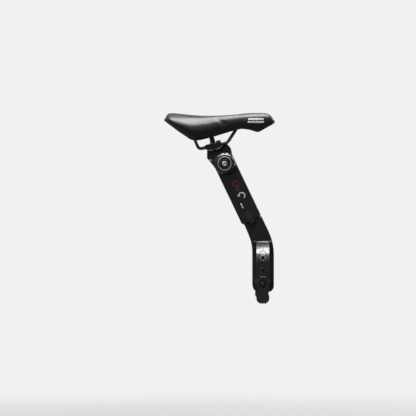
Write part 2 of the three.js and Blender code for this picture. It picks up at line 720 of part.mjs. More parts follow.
function leg(side) {
  const y = (value) => side * value;
  const tongue = armBlock(TONGUE.halfWidth, TONGUE.start, LEG.start + 4, y(TONGUE.inner), y(TONGUE.outer));
  const lower = plate(legOutline(), y(LEG.inner), y(LEG.outer), 2);
  const { pinY, pinZ, halfWidth } = STRAP;
  const ears = strapEar(side, PEG.x - halfWidth - 4.6).add(strapEar(side, PEG.x + halfWidth + 0.6));
  const pinHole = rod([40, y(pinY), pinZ], [130, y(pinY), pinZ], PIN_RADIUS + GAP, 16);
  const bar = (z) => block(71, 82, y(LEG.outer - 1), y(LEG.outer + 0.5), z, z + 1.4);
  const groove = armBlock(3, 75, 150, y(55), y(60));
  const pocketEnd = LATCH.end + 2.5;
  const pocket = armBlock(LATCH.halfWidth + 1, LEG.start - 5, pocketEnd, y(LATCH.inner - 0.7), y(60));
  const notch = (down) => armBlock(8, down, down + 5, y(55.6), y(60));
  const notches = range(7).map((i) => notch(78 + 10 * i)).reduce((a, b) => a.add(b));
  const boltHole = (x) => crossRod([x, PEG_BOLT_Z], y(30), y(70), PEG_BOLT_RADIUS + GAP, 16)
    .add(crossRod([x, PEG_BOLT_Z], y(30), y(47), 4.6));
  const holes = Object.values(PEG_BOLTS).map(boltHole);
  return holes.reduce((whole, hole) => whole.subtract(hole), tongue.add(lower).add(ears)
    .add(bar(-160))
    .add(bar(-164))
    .subtract(pinHole)
    .subtract(groove)
    .subtract(pocket)
    .subtract(notches));
}

function footPeg(side) {
  const y = (value) => side * value;
  const { x, z, radius, flat, from, to } = PEG;
  const body = turned([
    [0, from], [radius + 1.6, from], [radius + 1.6, from + 3], [radius, from + 5], [radius, to - 2],
    [radius - 2, to], [0, to],
  ].map(([r, out]) => [r, y(out)]), 32);
  const placed = body.translate([x, 0, z]);
  const boltHole = (at) => crossRod([at, PEG_BOLT_Z], y(50), y(71), PEG_BOLT_RADIUS + GAP, 16);
  const holes = Object.values(PEG_BOLTS).map(boltHole);
  return holes.reduce((whole, hole) => whole.subtract(hole), placed
    .subtract(block(0, BIG, y(from - 10), y(to + 10), flat, flat + BIG))
    .subtract(crossRod([x, z], y(121), y(140), 3.3, 20)));
}

function pegGrip(side) {
  const y = (value) => side * value;
  const low = PEG.flat + GAP;
  const half = 10.5;
  const base = block(PEG.x - half, PEG.x + half, y(66), y(126), low, low + 2.2);
  const rib = (i) => {
    const at = 68 + 7 * i;
    return block(PEG.x - half, PEG.x + half, y(at), y(at + 3), low + 1, low + 3.6);
  };
  return range(9).reduce((whole, i) => whole.add(rib(i)), base);
}

function pegBolt(side, x) {
  const y = (value) => side * value;
  return crossRod([x, PEG_BOLT_Z], y(45), y(70), PEG_BOLT_RADIUS, 16)
    .add(crossRod([x, PEG_BOLT_Z], y(42.5), y(46.6), 4.2))
    .subtract(crossRod([x, PEG_BOLT_Z], y(40), y(44.6), 2.3, 6));
}

function strapButton(side) {
  const profile = [
    [0, 122], [3, 122], [3, 133.9], [4.5, 133.9], [4.5, 135.6], [3.4, 136.6], [0, 136.9],
  ];
  return turned(profile.map(([r, out]) => [r, side * out]), 16).translate([PEG.x, 0, PEG.z]);
}

function strapPin(side) {
  const { pinY, pinZ, halfWidth } = STRAP;
  const reach = halfWidth + 5.4;
  return rod([PEG.x - reach, side * pinY, pinZ], [PEG.x + reach, side * pinY, pinZ], PIN_RADIUS, 16);
}

// ---------------------------------------------------------------- foot straps

// The strap's face outline, narrowing below the button to a rounded pull tab.
function strapFace() {
  const { halfWidth, foot } = STRAP;
  const { x, z } = PEG;
  const waist = 12.8;
  const tab = 13.8;
  const down = [[x + halfWidth, -150], [x + halfWidth, z + 4], [x + halfWidth - 0.6, z - 8]];
  const neck = [[x + waist, z - 19], [x + waist - 0.4, z - 24], [x + tab, z - 28]];
  const rounded = arc([x + 3.5, foot + 10.3], 10.3, 0, -Math.PI / 2, 6);
  const right = [...down, ...neck, ...rounded];
  const left = right.map(([px, pz]) => [2 * x - px, pz]).reverse();
  return [...right, ...left];
}

// The strap's own edge view: out from the pin in a quarter ellipse, then straight down.
function strapRibbon(side) {
  const { thick, halfWidth, pinY, pinZ, outerY, foot } = STRAP;
  const drop = 42;
  const centre = [
    ...range(11).map((i) => {
      const a = Math.PI / 2 * i / 10;
      return [pinY + (outerY - pinY) * Math.sin(a), pinZ - drop * (1 - Math.cos(a))];
    }),
    [outerY, foot - 2],
  ];
  const offset = (by) => centre.map(([py, pz], i) => {
    const before = centre[Math.max(i - 1, 0)];
    const after = centre[Math.min(i + 1, centre.length - 1)];
    const length = Math.hypot(after[0] - before[0], after[1] - before[1]);
    const along = [(after[0] - before[0]) / length, (after[1] - before[1]) / length];
    return [py - along[1] * by, pz + along[0] * by];
  });
  const outline = [...offset(thick / 2), ...offset(-thick / 2).reverse()];
  const shape = new THREE.Shape(outline.map(([py, pz]) => new THREE.Vector2(side * py, pz)));
  const geometry = new THREE.ExtrudeGeometry(shape, { depth: 2 * halfWidth, steps: 1, bevelEnabled: false });
  const axes = new THREE.Matrix4().set(0, 0, 1, PEG.x - halfWidth, 1, 0, 0, 0, 0, 1, 0, 0, 0, 0, 0, 1);
  geometry.applyMatrix4(axes);
  return solid(geometry);
}

function footStrap(side) {
  const { halfWidth, pinY, pinZ } = STRAP;
  const y = (value) => side * value;
  const [left, right] = [PEG.x - halfWidth, PEG.x + halfWidth];
  const eye = rod([left, y(pinY), pinZ], [right, y(pinY), pinZ], 3.8, 20);
  const face = plate(strapFace(), y(50), y(150));
  const holes = STRAP_HOLES.map((z) => crossRod([PEG.x, z], y(90), y(150), 4.2, 20));
  const keyhole = crossRod([PEG.x, PEG.z], y(110), y(150), 7, 24)
    .add(crossRod([PEG.x, PEG.z - 3.8], y(110), y(150), 7, 24));
  return holes.reduce((whole, hole) => whole.subtract(hole), strapRibbon(side).intersect(face)
    .add(eye)
    .subtract(keyhole)
    .subtract(rod([left - 5, y(pinY), pinZ], [right + 5, y(pinY), pinZ], PIN_RADIUS + GAP, 16)));
}

function addLeg(side, name) {
  add(`leg_${name}`, leg(side), PLASTIC);
  add(`foot_peg_${name}`, footPeg(side), PLASTIC);
  add(`peg_grip_${name}`, pegGrip(side), RUBBER);
  for (const [place, x] of Object.entries(PEG_BOLTS)) {
    add(`peg_bolt_${place}_${name}`, pegBolt(side, x), BLACK_STEEL);
  }
  add(`strap_pin_${name}`, strapPin(side), BLACK_STEEL);
  add(`strap_button_${name}`, strapButton(side), BLACK_STEEL);
  add(`foot_strap_${name}`, footStrap(side), RUBBER);
}

// ---------------------------------------------------------------- the whole seat

addHead();
addClamp();
addSaddle();
addHub();
for (const [name, side] of [['right', -1], ['left', 1]]) {
  addArm(side, name);
  addLeg(side, name);
}

export default seat;
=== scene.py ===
"""Looks of a child's seat that clamps over a bicycle's top tube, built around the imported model.

Lengths in the shape functions are millimetres from the spindle's axis, as in the part's source:
x forward, y to the rider's left, z up. place() turns them into the frame's metres.
"""

import json
import math

import bmesh
import bpy
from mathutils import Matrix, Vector


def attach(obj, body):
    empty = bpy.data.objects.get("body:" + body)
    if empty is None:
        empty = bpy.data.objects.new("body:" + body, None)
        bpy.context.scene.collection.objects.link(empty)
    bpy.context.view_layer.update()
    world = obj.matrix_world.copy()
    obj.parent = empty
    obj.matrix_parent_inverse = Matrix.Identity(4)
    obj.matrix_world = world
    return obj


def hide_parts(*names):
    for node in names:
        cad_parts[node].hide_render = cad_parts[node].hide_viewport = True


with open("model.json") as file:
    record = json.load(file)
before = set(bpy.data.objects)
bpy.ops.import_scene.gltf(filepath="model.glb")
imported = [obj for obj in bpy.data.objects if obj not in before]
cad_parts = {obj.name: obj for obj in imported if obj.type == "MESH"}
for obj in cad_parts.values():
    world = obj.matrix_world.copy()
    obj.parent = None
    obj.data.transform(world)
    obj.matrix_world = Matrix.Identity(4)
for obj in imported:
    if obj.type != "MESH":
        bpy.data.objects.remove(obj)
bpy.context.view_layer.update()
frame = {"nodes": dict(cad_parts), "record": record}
NODES = frame["nodes"]
SIDES = {"right": -1, "left": 1}
MM = 0.001

# ---------------------------------------------------------------- driving dimensions

TUBE_SLOPE = math.radians(35)
TUBE_PAD_DEPTH = 14
ORIGIN_X = TUBE_PAD_DEPTH * math.sin(TUBE_SLOPE)
ORIGIN_Z = -TUBE_PAD_DEPTH * math.cos(TUBE_SLOPE)

ARM_LEAN = math.radians(25.5)
ARM_FACE = 62

STRAP = {"half_width": 14, "pin_y": 62.3, "pin_z": -172, "outer_y": 132, "drop": 42, "foot": -302}
STRAP_X = 82.3
STRAP_HOLES = (-204, -231)
HOLE_RADIUS = 4.2
EYELET_WIDTH = 2
BORDER_WIDTH = 2.3
LIP_WIDTH = 4.6
STRAP_BAR_Z = -245.5
KEYHOLE_Z = -257.8
KEYHOLE_RADIUS = 7
KEYHOLE_DROP = 3.8

SADDLE_TOP = [
    (-129.4, 99), (-126, 106), (-121, 109.4), (-100, 109), (-80, 107.2), (-60, 105.7), (-40, 105.1),
    (-20, 105.3), (0, 106.2), (30, 108.5), (60, 110), (78, 110.2), (90, 109.6), (97, 107.4),
    (102.5, 103), (106, 98), (107.6, 95),
]
SADDLE_BOTTOM = [
    (-129.4, 92), (-126, 89), (-112, 78.5), (-99.4, 69.2), (-84, 59), (-73, 51.8), (-63, 50.2),
    (-52, 51.2), (-24, 58.3), (0, 65.6), (26.3, 73.2), (40, 75.6), (58, 72.6), (73.4, 68.5),
    (86, 74.8), (96, 80.4), (103, 84.2), (107.6, 87.6),
]
SADDLE_HALF_WIDTH = [
    (-129.4, 31), (-125, 47), (-118, 58), (-105, 65.5), (-90, 67.5), (-75, 65), (-60, 57.5),
    (-45, 48), (-30, 39.5), (-10, 31), (10, 26.5), (30, 24), (60, 22.5), (85, 20.5), (98, 16.5),
    (104.5, 12), (107.6, 8),
]
# Half sections from the lower edge to the top centre: (share of half-width, share of height).
WING_SECTION = [
    (0.84, 0.0), (0.95, 0.14), (1.0, 0.33), (0.965, 0.49), (0.88, 0.63), (0.76, 0.745),
    (0.65, 0.83), (0.55, 0.885), (0.4, 0.94), (0.2, 0.98), (0.0, 1.0),
]
NOSE_SECTION = [
    (0.9, 0.0), (0.98, 0.14), (1.0, 0.36), (0.975, 0.52), (0.9, 0.66), (0.79, 0.775),
    (0.64, 0.865), (0.48, 0.925), (0.32, 0.965), (0.16, 0.99), (0.0, 1.0),
]

# ---------------------------------------------------------------- small helpers


def place(x, y, z):
    """A point of the shape functions, in the frame's metres."""
    return Vector(((x - ORIGIN_X) * MM, y * MM, (z - ORIGIN_Z) * MM))


def lerp(a, b, t):
    return a + (b - a) * t


def smooth(t):
    c = min(max(t, 0.0), 1.0)
    return c * c * (3 - 2 * c)


def hump(value, centre, reach):
    """1 at the centre, falling smoothly to 0 at the reach on either side of it."""
    return smooth(1 - abs(value - centre) / reach)


def through(knots, x):
    """Value at x of a curve through (x, value) knots, rounded off between them."""
    last = len(knots) - 1
    i = next((k for k in range(1, last) if x <= knots[k][0]), last) - 1

    def slope(k):
        before, after = knots[max(k - 1, 0)], knots[min(k + 1, last)]
        return (after[1] - before[1]) / (after[0] - before[0])

    span = knots[i + 1][0] - knots[i][0]
    t = min(max((x - knots[i][0]) / span, 0.0), 1.0)
    rise = slope(i) * span * t * (1 - t) * (1 - t)
    fall = slope(i + 1) * span * t * t * (t - 1)
    return lerp(knots[i][1], knots[i + 1][1], t * t * (3 - 2 * t)) + rise + fall


def arm_point(across, down):
    """x and z of a point given across the arm, forward positive, and down it from the spindle."""
    c, s = math.cos(ARM_LEAN), math.sin(ARM_LEAN)
    return across * c + down * s, across * s - down * c


def circle(cx, cy, radius, steps=40):
    turns = [2 * math.pi * i / steps for i in range(steps)]
    return [(cx + radius * math.cos(a), cy + radius * math.sin(a)) for a in turns]


def link(name, mesh):
    piece = bpy.data.objects.new(name, mesh)
    bpy.context.scene.collection.objects.link(piece)
    return piece


def grid_solid(name, rings, close_ends=False):
    """A skin through rings of points, each ring a closed loop of the same length."""
    mesh = bpy.data.meshes.new(name)
    size = len(rings[0])
    faces = []
    for i in range(len(rings) - 1):
        for j in range(size):
            k = (j + 1) % size
            faces.append((i * size + j, i * size + k, (i + 1) * size + k, (i + 1) * size + j))
    if close_ends:
        last = (len(rings) - 1) * size
        faces.append(tuple(range(size)))
        faces.append(tuple(last + j for j in reversed(range(size))))
    mesh.from_pydata([p for ring in rings for p in ring], [], faces)
    tidy_mesh(mesh)
    return mesh


def tidy_mesh(mesh):
    """Joins points that meet, turns faces outward and shades them smooth."""
    work = bmesh.new()
    work.from_mesh(mesh)
    bmesh.ops.remove_doubles(work, verts=work.verts, dist=1e-6)
    bmesh.ops.recalc_face_normals(work, faces=work.faces)
    for face in work.faces:
        face.smooth = True
    work.to_mesh(mesh)
    work.free()


def filled_plate(name, loops, thick, bevel):
    """A flat plate with rounded edges, filled between closed 2D loops."""
    curve = bpy.data.curves.new(name, "CURVE")
    curve.dimensions = "2D"
    curve.fill_mode = "BOTH"
    curve.extrude = thick / 2 - bevel
    curve.bevel_depth = bevel
    curve.bevel_resolution = 2
    curve.offset = -bevel
    for loop in loops:
        spline = curve.splines.new("POLY")
        spline.points.add(len(loop) - 1)
        for point, (u, v) in zip(spline.points, loop):
            point.co = (u, v, 0, 1)
        spline.use_cyclic_u = True
    flat = link(name, curve)
    bpy.context.view_layer.update()
    mesh = bpy.data.meshes.new_from_object(flat.evaluated_get(bpy.context.evaluated_depsgraph_get()))
    bpy.data.objects.remove(flat)
    bpy.data.curves.remove(curve)
    return mesh


def flat_shape(name, loops, thick, bevel, to_place, lift=0.0, cuts=()):
    """A plate from closed 2D loops, carried to its place point by point.

    to_place(u, v, w) gives the point for u, v in the plate and w out of it. The plate's middle is
    lifted by lift, and it is cut across u at each of cuts so that it can bend there.
    """
    mesh = filled_plate(name, loops, thick, bevel)
    work = bmesh.new()
    work.from_mesh(mesh)
    bmesh.ops.remove_doubles(work, verts=work.verts, dist=1e-4)
    for at in cuts:
        everything = work.verts[:] + work.edges[:] + work.faces[:]
        bmesh.ops.bisect_plane(work, geom=everything, plane_co=(at, 0, 0), plane_no=(1, 0, 0))
    for vertex in work.verts:
        u, v, w = vertex.co
        vertex.co = to_place(u, v, w + lift)
    work.to_mesh(mesh)
    work.free()
    mesh.name = name
    tidy_mesh(mesh)
    return mesh


def joined(name, meshes):
    """One piece made of several closed shells."""
    work = bmesh.new()
    for mesh in meshes:
        work.from_mesh(mesh)
    whole = bpy.data.meshes.new(name)
    work.to_mesh(whole)
    work.free()
    for mesh in meshes:
        bpy.data.meshes.remove(mesh)
    return link(name, whole)


# ---------------------------------------------------------------- camera

VIEW_POINT = Vector((-0.0442, 0.0, -0.0864))
VIEW_DISTANCE = 9.0
VIEW_ELEVATION = math.radians(1)
VIEW_WIDTH = 0.911                      # metres across the picture at the view point
SENSOR = 36.0


def add_camera():
    camera = bpy.data.cameras.new("camera")
    camera.sensor_width = SENSOR
    camera.lens = SENSOR * VIEW_DISTANCE / VIEW_WIDTH
    camera.clip_end = 100
    holder = bpy.data.objects.new("camera", camera)
    back = Vector((0, -math.cos(VIEW_ELEVATION), math.sin(VIEW_ELEVATION)))
    holder.location = VIEW_POINT + back * VIEW_DISTANCE
    holder.rotation_euler = (math.pi / 2 - VIEW_ELEVATION, 0, 0)
    bpy.context.scene.collection.objects.link(holder)
    bpy.context.scene.camera = holder


# ---------------------------------------------------------------- materials


class Nodes:
    """Makes and links the nodes of one material."""

    def __init__(self, name):
        self.material = bpy.data.materials.new(name)
        self.material.use_nodes = True
        self.tree = self.material.node_tree
        self.tree.nodes.clear()
        self.shader = self.new("ShaderNodeBsdfPrincipled")
        output = self.new("ShaderNodeOutputMaterial")
        self.join(self.shader.outputs["BSDF"], output.inputs["Surface"])
        self.where = self.new("ShaderNodeTexCoord").outputs["Object"]

    def new(self, kind, **settings):
        node = self.tree.nodes.new(kind)
        for key, value in settings.items():
            if hasattr(node, key):
                setattr(node, key, value)
            else:
                node.inputs[key.replace("_", " ")].default_value = value
        return node

    def join(self, start, end):
        self.tree.links.new(start, end)

    def noise(self, size_mm, detail=3.0, roughness=0.5):
        node = self.new("ShaderNodeTexNoise", Scale=1000 / size_mm, Detail=detail, Roughness=roughness)
        self.join(self.where, node.inputs["Vector"])
        return node.outputs["Fac"]

    def cells(self, size_mm, feature="F1"):
        node = self.new("ShaderNodeTexVoronoi", feature=feature, Scale=1000 / size_mm)
        self.join(self.where, node.inputs["Vector"])
        return node.outputs["Distance"]

    def spread(self, value, low, high, to_low, to_high):
        node = self.new("ShaderNodeMapRange")
        ends = {"From Min": low, "From Max": high, "To Min": to_low, "To Max": to_high}
        for key, number in ends.items():
            node.inputs[key].default_value = number
        self.join(value, node.inputs["Value"])
        return node.outputs["Result"]

    def math(self, operation, a, b):
        node = self.new("ShaderNodeMath", operation=operation)
        for socket, value in zip(node.inputs, (a, b)):
            if isinstance(value, (int, float)):
                socket.default_value = value
            else:
                self.join(value, socket)
        return node.outputs["Value"]

    def mix_colour(self, factor, a, b):
        node = self.new("ShaderNodeMix", data_type="RGBA")
        self.join(factor, node.inputs["Factor"])
        colour_inputs = [s for s in node.inputs if s.type == "RGBA"]
        for socket, value in zip(colour_inputs, (a, b)):
            if isinstance(value, tuple):
                socket.default_value = (*value, 1)
            else:
                self.join(value, socket)
        return next(s for s in node.outputs if s.type == "RGBA")

    def edges(self, radius_mm):
        """Normal rounded off at hard edges, and a mask that is 1 on those edges."""
        bevel = self.new("ShaderNodeBevel", samples=4)
        bevel.inputs["Radius"].default_value = radius_mm * MM
        geometry = self.new("ShaderNodeNewGeometry")
        dot = self.new("ShaderNodeVectorMath", operation="DOT_PRODUCT")
        self.join(bevel.outputs["Normal"], dot.inputs[0])
        self.join(geometry.outputs["Normal"], dot.inputs[1])
        mask = self.spread(dot.outputs["Value"], 0.985, 0.8, 0.0, 1.0)
        return bevel.outputs["Normal"], mask

    def bump(self, height, depth_mm, normal=None):
        node = self.new("ShaderNodeBump")
        node.inputs["Strength"].default_value = 1.0
        node.inputs["Distance"].default_value = depth_mm * MM
        self.join(height, node.inputs["Height"])
        if normal is not None:
            self.join(normal, node.inputs["Normal"])
        return node.outputs["Normal"]


CLOUDY = (0.3, 0.7)                     # where a noise's values mostly lie


def scaled(colour, factor):
    return tuple(min(c * factor, 1.0) for c in colour)


def plastic(name, colour, roughness, grain_mm, grain_depth, edge_mm=0.5, specular=0.4, coat=0.0):
    """Moulded plastic or rubber: fine grain, faint mottling and slightly rubbed edges."""
    n = Nodes(name)
    normal, worn = n.edges(edge_mm)
    mottle = n.spread(n.noise(22, 4, 0.6), *CLOUDY, 0.0, 1.0)
    base = n.mix_colour(mottle, scaled(colour, 0.82), scaled(colour, 1.2))
    rubbed = n.math("MULTIPLY", worn, n.spread(n.noise(6, 2), 0.35, 0.75, 0.15, 0.9))
    n.join(n.mix_colour(rubbed, base, scaled(colour, 1.7)), n.shader.inputs["Base Color"])
    smudge = n.spread(n.noise(9, 5, 0.65), *CLOUDY, roughness - 0.05, roughness + 0.07)
    n.join(n.math("SUBTRACT", smudge, n.math("MULTIPLY", rubbed, 0.12)), n.shader.inputs["Roughness"])
    grain = n.math("ADD", n.cells(grain_mm), n.noise(grain_mm * 2.2, 2))
    n.join(n.bump(grain, grain_depth, normal), n.shader.inputs["Normal"])
    n.shader.inputs["Specular IOR Level"].default_value = specular
    n.shader.inputs["Coat Weight"].default_value = coat
    n.shader.inputs["Coat Roughness"].default_value = 0.12
    return n.material


def leather(name, colour):
    """Satin synthetic leather stretched over foam: pebbled cells with fine creases between them."""
    n = Nodes(name)
    warp = n.noise(4.5, 3)
    pebbles = n.spread(n.cells(0.9, "SMOOTH_F1"), 0.0, 0.75, 1.0, 0.0)
    creases = n.spread(n.cells(1.5, "DISTANCE_TO_EDGE"), 0.0, 0.2, 0.0, 1.0)
    height = n.math("ADD", n.math("MULTIPLY", pebbles, 0.6), n.math("MULTIPLY", creases, 0.5))
    tone = n.math("MULTIPLY", creases, n.spread(warp, *CLOUDY, 0.75, 1.0))
    n.join(n.mix_colour(tone, scaled(colour, 0.7), scaled(colour, 1.15)), n.shader.inputs["Base Color"])
    n.join(n.spread(n.noise(14, 4, 0.6), *CLOUDY, 0.27, 0.37), n.shader.inputs["Roughness"])
    n.join(n.bump(height, 0.035), n.shader.inputs["Normal"])
    n.shader.inputs["Specular IOR Level"].default_value = 0.3
    n.shader.inputs["Sheen Weight"].default_value = 0.04
    n.shader.inputs["Sheen Roughness"].default_value = 0.5
    return n.material


def metal(name, colour, roughness, edge_mm=0.25):
    """Plated or coated steel: fine brush marks, small cloudy patches and brighter edges."""
    n = Nodes(name)
    normal, worn = n.edges(edge_mm)
    cloud = n.spread(n.noise(7, 5, 0.6), *CLOUDY, 0.0, 1.0)
    base = n.mix_colour(cloud, scaled(colour, 0.85), scaled(colour, 1.1))
    n.join(n.mix_colour(worn, base, scaled(colour, 1.5)), n.shader.inputs["Base Color"])
    n.join(n.spread(n.noise(2.5, 6, 0.7), *CLOUDY, roughness - 0.06, roughness + 0.08),
           n.shader.inputs["Roughness"])
    n.join(n.bump(n.noise(0.5, 2), 0.02, normal), n.shader.inputs["Normal"])
    n.shader.inputs["Metallic"].default_value = 1.0
    return n.material


def print_and_painted_reflection(name, colour):
    """Printed mark, and the painted reflection on the dial's bead: a thin, slightly uneven layer of paint.
    """
    n = Nodes(name)
    patchy = n.spread(n.noise(1.8, 4, 0.7), 0.25, 0.6, 0.0, 1.0)
    n.join(n.mix_colour(patchy, scaled(colour, 0.72), colour), n.shader.inputs["Base Color"])
    n.join(n.spread(n.noise(3, 2), *CLOUDY, 0.42, 0.58), n.shader.inputs["Roughness"])
    n.join(n.bump(n.noise(0.7, 2), 0.02), n.shader.inputs["Normal"])
    return n.material


BLACK = (0.0145, 0.0145, 0.0165)
MATERIALS = {
    "moulded_plastic": plastic("moulded_plastic", BLACK, roughness=0.5, grain_mm=0.7, grain_depth=0.035),
    "gloss_plastic": plastic(
        "gloss_plastic", scaled(BLACK, 1.15), roughness=0.3, grain_mm=0.5, grain_depth=0.008,
        edge_mm=0.4, specular=0.5, coat=0.25),
    "rubber": plastic(
        "rubber", scaled(BLACK, 1.1), roughness=0.36, grain_mm=0.9, grain_depth=0.002,
        edge_mm=0.4, specular=0.6, coat=0.8),
    "saddle_cover": leather("saddle_cover", scaled(BLACK, 0.95)),
    "black_steel": metal("black_steel", (0.1, 0.1, 0.105), roughness=0.36),
    "bright_steel": metal("bright_steel", (0.8, 0.8, 0.81), roughness=0.42),
    "black_alloy": metal("black_alloy", (0.05, 0.05, 0.056), roughness=0.42, edge_mm=0.4),
}
LATCH_PLASTIC = plastic(
    "latch_plastic", scaled(BLACK, 2.1), roughness=0.36, grain_mm=0.5, grain_depth=0.012,
    edge_mm=0.4, specular=0.5)
# Pale rubber for the two rings on each strap's bend: a painted highlight of the light that their rims
# catch.
RUBBER_PAINTED_HIGHLIGHT = plastic(
    "rubber_painted_highlight", (0.16, 0.16, 0.17), roughness=0.4, grain_mm=0.9, grain_depth=0.002,
    edge_mm=0.4, specular=0.6)
RED_INK = print_and_painted_reflection("red_ink", (0.33, 0.02, 0.025))
WHITE_INK = print_and_painted_reflection("white_ink", (0.95, 0.95, 0.96))
PALE_INK = print_and_painted_reflection("pale_ink", (0.5, 0.5, 0.51))
# Grey paint for the ring on the dial's bead: a painted reflection.
REFLECTION_GREY = print_and_painted_reflection("painted_reflection_grey", (0.34, 0.34, 0.37))


def dress(piece, material):
    piece.data.materials.clear()
    piece.data.materials.append(material)


def finish_piece(piece, slot, body, *replaced):
    """Gives a new piece its material and its body, and hides the CAD nodes that it stands for."""
    dress(piece, MATERIALS[slot])
    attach(piece, body)
    if replaced:
        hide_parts(*replaced)


# ---------------------------------------------------------------- CAD nodes


def crease_group(angle):
    """Node group that welds a faceted solid and keeps only edges over the angle sharp."""
    group = bpy.data.node_groups.new("crease", "GeometryNodeTree")
    group.interface.new_socket("Geometry", in_out="INPUT", socket_type="NodeSocketGeometry")
    group.interface.new_socket("Geometry", in_out="OUTPUT", socket_type="NodeSocketGeometry")
    add = group.nodes.new
    start, end = add("NodeGroupInput"), add("NodeGroupOutput")
    weld, round_off = add("GeometryNodeMergeByDistance"), add("GeometryNodeSetShadeSmooth")
    weld.inputs["Distance"].default_value = 0.00001
    fold, sharp = add("GeometryNodeInputMeshEdgeAngle"), add("FunctionNodeCompare")
    sharp.inputs["B"].default_value = angle
    crease = add("GeometryNodeSetShadeSmooth")
    crease.domain = "EDGE"
    crease.inputs["Shade Smooth"].default_value = False
    for a, b in (
        (start.outputs[0], weld.inputs["Geometry"]),
        (weld.outputs["Geometry"], round_off.inputs["Geometry"]),
        (round_off.outputs["Geometry"], crease.inputs["Geometry"]),
        (fold.outputs["Unsigned Angle"], sharp.inputs["A"]),
        (sharp.outputs["Result"], crease.inputs["Selection"]),
        (crease.outputs["Geometry"], end.inputs[0]),
    ):
        group.links.new(a, b)
    return group


SOFT_CREASE = crease_group(math.radians(50))


def refine_nodes():
    """Every CAD node gets its slot's material and evenly shaded rounds."""
    for row in frame["record"]["subparts"]:
        node = NODES[row["node"]]
        dress(node, MATERIALS[row["material_slot"]])
        if row["node"].startswith("latch_") and row["material_slot"] == "gloss_plastic":
            dress(node, LATCH_PLASTIC)
        custom = node.data.attributes.get("custom_normal")
        if custom:
            node.data.attributes.remove(custom)
        modifier = node.modifiers.new("crease", "NODES")
        modifier.node_group = SOFT_CREASE
        flat = node.modifiers.new("even", "WEIGHTED_NORMAL")
        flat.keep_sharp = True


# ---------------------------------------------------------------- saddle

CHANNEL = {"from": -104, "to": 48, "fade_in": 26, "fade_out": 40, "half_width": 9, "depth": 3.2}
RELIEF = {"rear": (-20, 102), "front": (-2, 87), "reach": 8, "depth": 1.7}
RELIEF_TOP, RELIEF_FLANK = 0.45, 0.75   # shares of half-width between which the crease fades in
WING_END, NOSE_START = -42, 4           # where the section stops being a wing, and is all nose
SECTION_STEPS = 44                      # steps along a half section
LOWER_EDGE_WIDTH, LOWER_EDGE_HEIGHT = 24, 40    # sections smaller than this are drawn in by less
COVER_THICK, COVER_DEEP = 9, 15.5       # foam beside the base and above it


def saddle_section(x):
    """Half section at x: wide wings at the rear, a narrow round nose in front."""
    t = smooth((x - WING_END) / (NOSE_START - WING_END))
    return [(lerp(a, c, t), lerp(b, d, t)) for (a, b), (c, d) in zip(WING_SECTION, NOSE_SECTION)]


def half_line(x, steps):
    """Shares of width and height along the half section, closely spaced and rounded off."""
    knots = saddle_section(x)
    across = [(i, a) for i, (a, _) in enumerate(knots)]
    height = [(i, b) for i, (_, b) in enumerate(knots)]
    last = len(knots) - 1
    places = [last * i / steps for i in range(steps + 1)]
    return [(through(across, at), through(height, at)) for at in places]


def relief_depth(x, z):
    """Depth of the slanted crease where each wing runs into the nose."""
    (x0, z0), (x1, z1) = RELIEF["rear"], RELIEF["front"]
    dx, dz = x1 - x0, z1 - z0
    t = min(max(((x - x0) * dx + (z - z0) * dz) / (dx * dx + dz * dz), 0.0), 1.0)
    away = math.hypot(x - x0 - t * dx, z - z0 - t * dz)
    return RELIEF["depth"] * hump(away, 0, RELIEF["reach"])


def saddle_line(x, sideways=0.0, downward=0.0):
    """A line over the saddle at x from its right lower edge to its left one, drawn in by offsets."""
    width = through(SADDLE_HALF_WIDTH, x)
    low = through(SADDLE_BOTTOM, x)
    height = through(SADDLE_TOP, x) - low
    narrow = width - sideways * min(1, width / LOWER_EDGE_WIDTH)
    flat = height - downward * min(1, height / LOWER_EDGE_HEIGHT)
    begin = smooth((x - CHANNEL["from"]) / CHANNEL["fade_in"])
    finish = smooth((CHANNEL["to"] - x) / CHANNEL["fade_out"])
    channel = begin * finish * CHANNEL["depth"]
    half = []
    for a, b in half_line(x, SECTION_STEPS):
        dip = channel * hump(a * narrow, 0, CHANNEL["half_width"])
        z = low + b * flat - dip
        bite = relief_depth(x, z) * smooth((a - RELIEF_TOP) / (RELIEF_FLANK - RELIEF_TOP))
        half.append((a * narrow - bite, z))
    right = [(x, -y, z) for y, z in half]
    left = [(x, y, z) for y, z in reversed(half[:-1])]
    return right + left


def saddle_stations():
    """Stations along the saddle, closest together at its rounded ends."""
    rear, front = SADDLE_TOP[0][0], SADDLE_TOP[-1][0]
    count = 150
    return [lerp(rear, front, (1 - math.cos(math.pi * i / count)) / 2) for i in range(count + 1)]


def ring_at(x, tuck, shift):
    """Closed ring of cover points at x: outer line, then inner line back, tucked in at an end."""
    outer = saddle_line(x)
    inner = saddle_line(x, COVER_THICK, COVER_DEEP)
    drawn = [tuple(lerp(a, b, tuck) for a, b in zip(p, q)) for p, q in zip(outer, inner)]
    return [place(px + shift, py, pz) for px, py, pz in drawn + inner[::-1]]


def rounded_end(x, reach):
    """Rings beyond a station that round the cover off over a reach, the nearest one first."""
    steps, tuck = 5, 0.6
    turns = [math.pi / 2 * i / steps for i in range(1, steps + 1)]
    return [ring_at(x, (1 - math.cos(a)) * tuck, reach * math.sin(a)) for a in turns]


def saddle_cover():
    """The padded cover, a thick skin that follows the saddle's sections."""
    stations = saddle_stations()
    reach = 2.2
    rear = rounded_end(stations[0], -reach)[::-1]
    front = rounded_end(stations[-1], reach)
    rings = rear + [ring_at(x, 0, 0) for x in stations] + front
    piece = link("saddle_cover", grid_solid("saddle_cover", rings))
    finish_piece(piece, "saddle_cover", "saddle", "saddle_pad")


def edge_curve(name, points, radius_mm):
    """A round beading along a closed line of points."""
    curve = bpy.data.curves.new(name, "CURVE")
    curve.dimensions = "3D"
    curve.bevel_depth = radius_mm * MM
    curve.bevel_resolution = 4
    spline = curve.splines.new("POLY")
    spline.points.add(len(points) - 1)
    for point, co in zip(spline.points, points):
        point.co = (*co, 1)
    spline.use_cyclic_u = True
    return link(name, curve)


